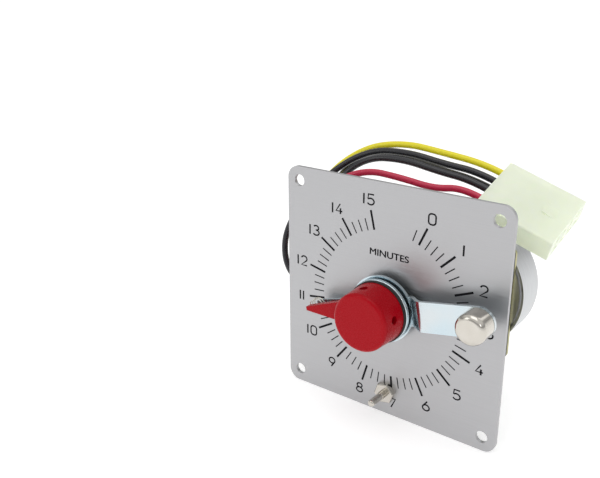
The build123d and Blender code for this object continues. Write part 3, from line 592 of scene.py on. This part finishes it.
# each digit's strokes in a box one wide and one high
digitStrokes = {
    "0": [
        sweep(0.60, 0.74, 0.40, 0.26, 0, 90, 5) + sweep(0.40, 0.74, 0.40, 0.26, 90, 180, 5)
        + sweep(0.40, 0.26, 0.40, 0.26, 180, 270, 5) + sweep(0.60, 0.26, 0.40, 0.26, 270, 360, 5)
        + [(1.0, 0.74)]
    ],
    "1": [[(0, 0), (0, 1)]],
    "2": [sweep(0.5, 0.70, 0.48, 0.30, 165, -35) + [(0.0, 0.0), (1.0, 0.0)]],
    "3": [sweep(0.47, 0.76, 0.43, 0.24, 150, -90) + sweep(0.47, 0.27, 0.52, 0.27, 88, -150)],
    "4": [[(0.66, 1.0), (0.0, 0.28), (1.0, 0.28)], [(0.72, 0.58), (0.72, 0.0)]],
    "5": [[(0.95, 1.0), (0.12, 1.0), (0.06, 0.56)] + sweep(0.47, 0.31, 0.53, 0.31, 128, -150)],
    "6": [sweep(0.5, 0.31, 0.5, 0.31, 0, 360, 20), [(0.03, 0.42), (0.64, 1.0)]],
    "7": [[(0.0, 1.0), (1.0, 1.0), (0.36, 0.0)]],
    "8": [sweep(0.5, 0.27, 0.5, 0.27, 0, 360, 20), sweep(0.5, 0.77, 0.41, 0.23, 0, 360, 18)],
    "9": [sweep(0.5, 0.69, 0.5, 0.31, 0, 360, 20), [(0.97, 0.58), (0.38, 0.0)]],
}


def flatten(mesh, depth):
    # press round strokes into a thin flat print that stands on the plate
    for vertex in mesh.vertices:
        side = vertex.co.y / depth
        vertex.co.y = plateFront - dial["ink"] * (0.5 - 0.5 * max(-1, min(1, side)))


def makeNumerals(ink):
    curve = bpy.data.curves.new("numerals", "CURVE")
    curve.dimensions = "3D"
    curve.bevel_depth = numeral["stroke"] / 2
    curve.bevel_resolution = 1
    curve.use_fill_caps = True
    for minute in range(dial["minutes"] + 1):
        turn = math.radians(dial["zeroAngle"] + dial["perMinute"] * minute)
        digits = str(minute)
        widths = [0 if digit == "1" else numeral["width"] for digit in digits]
        total = sum(widths) + numeral["space"] * (len(digits) - 1)
        left = shaftMiddle.x + numeral["radius"] * math.sin(turn) - total / 2
        low = shaftMiddle.z + numeral["radius"] * math.cos(turn) - numeral["height"] / 2
        for digit, width in zip(digits, widths):
            for stroke in digitStrokes[digit]:
                spline = curve.splines.new("POLY")
                spline.points.add(len(stroke) - 1)
                for slot, (x, z) in zip(spline.points, stroke):
                    slot.co = (left + x * width, 0, low + z * numeral["height"], 1)
            left += width + numeral["space"]
    carrier = bpy.data.objects.new("numeralsCarrier", curve)
    bpy.context.scene.collection.objects.link(carrier)
    mesh = meshFrom(carrier)
    bpy.data.objects.remove(carrier)
    flatten(mesh, numeral["stroke"] / 2)
    linkPiece("dial_numerals", mesh, ink, "chassis")
    print("numerals made")


unitWord = {
    "text": "MINUTES",
    "width": 17.8 * millimetre,
    "height": 2.75 * millimetre,
    "centre": (0.0, 21.2 * millimetre),
    "extrude": 0.5,  # half the letters' thickness before they are pressed flat
    "bold": 0.10 * millimetre,  # copies of the word lie this far to each side
    "copies": [(0, 0), (1, 0), (-1, 0), (0, 0.6), (0, -0.6)],
    "layer": 0.001 * millimetre,  # no two copies share a plane
}


def makeUnitWord(ink):
    font = bpy.data.curves.new("unitWord", "FONT")
    font.body = unitWord["text"]
    font.extrude = unitWord["extrude"]
    carrier = bpy.data.objects.new("unitWordCarrier", font)
    bpy.context.scene.collection.objects.link(carrier)
    mesh = meshFrom(carrier)
    bpy.data.objects.remove(carrier)
    xs = [v.co.x for v in mesh.vertices]
    ys = [v.co.y for v in mesh.vertices]
    middleX, middleY = (min(xs) + max(xs)) / 2, (min(ys) + max(ys)) / 2
    stretchX = unitWord["width"] / (max(xs) - min(xs))
    stretchZ = unitWord["height"] / (max(ys) - min(ys))
    for vertex in mesh.vertices:
        x, y, z = vertex.co
        vertex.co = (
            unitWord["centre"][0] + (x - middleX) * stretchX,
            plateFront - dial["ink"] * (z + unitWord["extrude"]),
            unitWord["centre"][1] + (y - middleY) * stretchZ,
        )
    copies = []
    for layer, (aside, up) in enumerate(unitWord["copies"]):
        copy = mesh.copy()
        bold = unitWord["bold"]
        step = (aside * bold, layer * unitWord["layer"], up * bold)
        copy.transform(Matrix.Translation(step))
        copies.append(copy)
    word = joinMeshes("unitWord", copies, rounded=False)
    linkPiece("dial_unit_word", word, ink, "chassis")
    print("unit word made")


# ---- link spring between the lever's tail and the pointer

spring = {
    "wire": 0.5 * millimetre,
    "coil": 6.5 * millimetre,  # outside diameter
    "turns": 2.6,
    "smoothness": 28,
    "wireSides": 10,
}


def springTree():
    # a coil of round wire whose length runs towards the user
    tree = startTree("springCoil", [
        ("Turns", "Float"), ("Radius", "Float"), ("Length", "Float"), ("Wire Radius", "Float"),
        ("Resolution", "Int"), ("Start", "Vector"), ("Material", "Material"),
    ])
    add = tree.nodes.new
    join = tree.links.new
    given = add("NodeGroupInput").outputs
    helix = add("GeometryNodeCurveSpiral")
    join(given["Resolution"], helix.inputs["Resolution"])
    join(given["Turns"], helix.inputs["Rotations"])
    join(given["Radius"], helix.inputs["Start Radius"])
    join(given["Radius"], helix.inputs["End Radius"])
    join(given["Length"], helix.inputs["Height"])
    section = add("GeometryNodeCurvePrimitiveCircle")
    section.inputs["Resolution"].default_value = spring["wireSides"]
    join(given["Wire Radius"], section.inputs["Radius"])
    wire = add("GeometryNodeCurveToMesh")
    wire.inputs["Fill Caps"].default_value = True
    join(helix.outputs["Curve"], wire.inputs["Curve"])
    join(section.outputs["Curve"], wire.inputs["Profile Curve"])
    lay = add("GeometryNodeTransform")
    lay.inputs["Rotation"].default_value = (math.pi / 2, 0, 0)
    join(wire.outputs["Mesh"], lay.inputs["Geometry"])
    join(given["Start"], lay.inputs["Translation"])
    smooth = add("GeometryNodeSetShadeSmooth")
    join(lay.outputs["Geometry"], smooth.inputs["Geometry"])
    endTree(tree, smooth.outputs["Geometry"], given["Material"])
    return tree


def makeSpring(nickel):
    low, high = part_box("link_spring")
    middle = (low + high) / 2
    mesh = runTree("linkSpring", springTree(), {
        "Turns": spring["turns"],
        "Radius": (spring["coil"] - spring["wire"]) / 2,
        "Length": high.y - low.y,
        "Wire Radius": spring["wire"] / 2,
        "Resolution": spring["smoothness"],
        "Start": (middle.x, high.y, middle.z),
        "Material": nickel,
    })
    piece = linkPiece("link_coil", mesh, nickel, "hand")
    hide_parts("link_spring")
    print("link spring made")


# ---- turned details on the motor, the switch and the panel

def lathe(name, profile, centre, facing, sides=72):
    # turn (radius, reach) points about an axis at centre; facing is the way its reach runs
    facing = Vector(facing).normalized()
    aside = facing.orthogonal().normalized()
    third = facing.cross(aside)
    mesh = bpy.data.meshes.new(name)
    points = []
    for radius, reach in profile:
        for i in range(sides):
            turn = 2 * math.pi * i / sides
            outward = aside * math.cos(turn) + third * math.sin(turn)
            points.append(Vector(centre) + facing * reach + outward * radius)
    faces = []
    for row in range(len(profile) - 1):
        for i in range(sides):
            follow = (i + 1) % sides
            near, far = row * sides, (row + 1) * sides
            faces.append((near + i, near + follow, far + follow, far + i))
    faces.append(tuple(reversed(range(sides))))
    faces.append(tuple(range((len(profile) - 1) * sides, len(profile) * sides)))
    mesh.from_pydata([tuple(point) for point in points], [], faces)
    for polygon in mesh.polygons:
        polygon.use_smooth = len(polygon.vertices) == 4
    mesh.validate()
    return mesh


motorBack = {  # profiles are (radius, reach) points in millimetres
    "boss": [(9.2, 0.0), (9.0, 0.35), (8.3, 0.7), (7.2, 0.8), (5.2, 0.8), (4.6, 0.55), (4.2, 0.1)],
    "hub": [(3.4, 0.0), (3.3, 0.5), (2.8, 0.95), (1.4, 1.1), (0.3, 1.1)],
    "dimple": [(1.5, 0.0), (1.4, 0.3), (1.0, 0.5), (0.3, 0.55)],
    "dimpleRing": 18.5 * millimetre,
    "dimples": 6,
    "dimpleSides": 28,
}


def makeMotorBack(finishes):
    low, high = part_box("motor_can")
    middle = (low + high) / 2
    centre = Vector((middle.x, high.y, middle.z))
    backward = (0, 1, 0)
    pieces = [
        lathe("boss", sized(motorBack["boss"]), centre, backward),
        lathe("hub", sized(motorBack["hub"]), centre, backward),
    ]
    ring = motorBack["dimpleRing"]
    for i in range(motorBack["dimples"]):
        turn = 2 * math.pi * (i + 0.5) / motorBack["dimples"]
        place = centre + Vector((ring * math.cos(turn), 0, ring * math.sin(turn)))
        dimple = sized(motorBack["dimple"])
        pieces.append(lathe("dimple", dimple, place, backward, motorBack["dimpleSides"]))
    mesh = joinMeshes("motorBack", pieces)
    linkPiece("motor_back_boss", mesh, finishes["motor_shell"], "chassis")
    print("motor back made")


solderJoint = {  # where a lead is soldered to a switch terminal; profiles in millimetres
    "leads": ("yellow", "black_1", "red"),
    "solder": [(0.3, 0.0), (0.9, 0.25), (1.75, 0.9), (1.9, 1.7), (1.75, 2.6), (1.66, 3.2)],
    "sleeve": [(1.62, 2.9), (1.82, 3.0), (1.86, 4.0), (1.86, 9.5), (1.8, 10.2), (1.6, 10.3)],
    "overlap": 1.0 * millimetre,  # how far past the end of the lead the solder begins
    "sides": 32,
}


def makeJoints(finishes):
    beads, sleeves = [], []
    bead, sleeve = sized(solderJoint["solder"]), sized(solderJoint["sleeve"])
    for name in solderJoint["leads"]:
        end, before = (Vector(point) for point in leadRoutes[name][:-3:-1])
        away = (before - end).normalized()
        foot = end - away * solderJoint["overlap"]
        beads.append(lathe("bead", bead, foot, away, solderJoint["sides"]))
        sleeves.append(lathe("sleeve", sleeve, foot, away, solderJoint["sides"]))
    linkPiece("switch_solder", joinMeshes("solder", beads), finishes["tin"], "chassis")
    rubber = finishes["black_rubber"]
    linkPiece("switch_sleeves", joinMeshes("sleeves", sleeves), rubber, "chassis")
    print("switch joints made")


thread = {
    "core": 1.51 * millimetre,  # radius between the ridges, just over the pin's
    "crest": 1.66 * millimetre,
    "pitch": 0.5 * millimetre,
    "ridges": 5,
    "sides": 40,
}


def makePinThread(finishes):
    # fine thread on the stop pin in front of its nut, as a stack of ridges
    low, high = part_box("stop_pin_nut")
    middle = (low + high) / 2
    pitch = thread["pitch"]
    profile = []
    for i in range(thread["ridges"]):
        profile += [(thread["core"], i * pitch), (thread["crest"], (i + 0.5) * pitch)]
    profile.append((thread["core"], thread["ridges"] * pitch))
    front = (middle.x, low.y, middle.z)
    mesh = lathe("pinThread", profile, front, (0, -1, 0), thread["sides"])
    linkPiece("stop_pin_thread", mesh, finishes["nickel"], "chassis")
    print("stop pin thread made")


makeCamera()
makeStudio()
finishes = makeFinishes()
giveFinishes(finishes)
dialInk = mouldedPlastic("dialInk", (0.006, 0.006, 0.008, 1), 0.5, 0.0, 3000.0, 0.02, 0.1)
makeLeads(finishes)
makeTicks(dialInk)
makeNumerals(dialInk)
makeUnitWord(dialInk)
makeSpring(finishes["nickel"])
makeMotorBack(finishes)
makeJoints(finishes)
makePinThread(finishes)
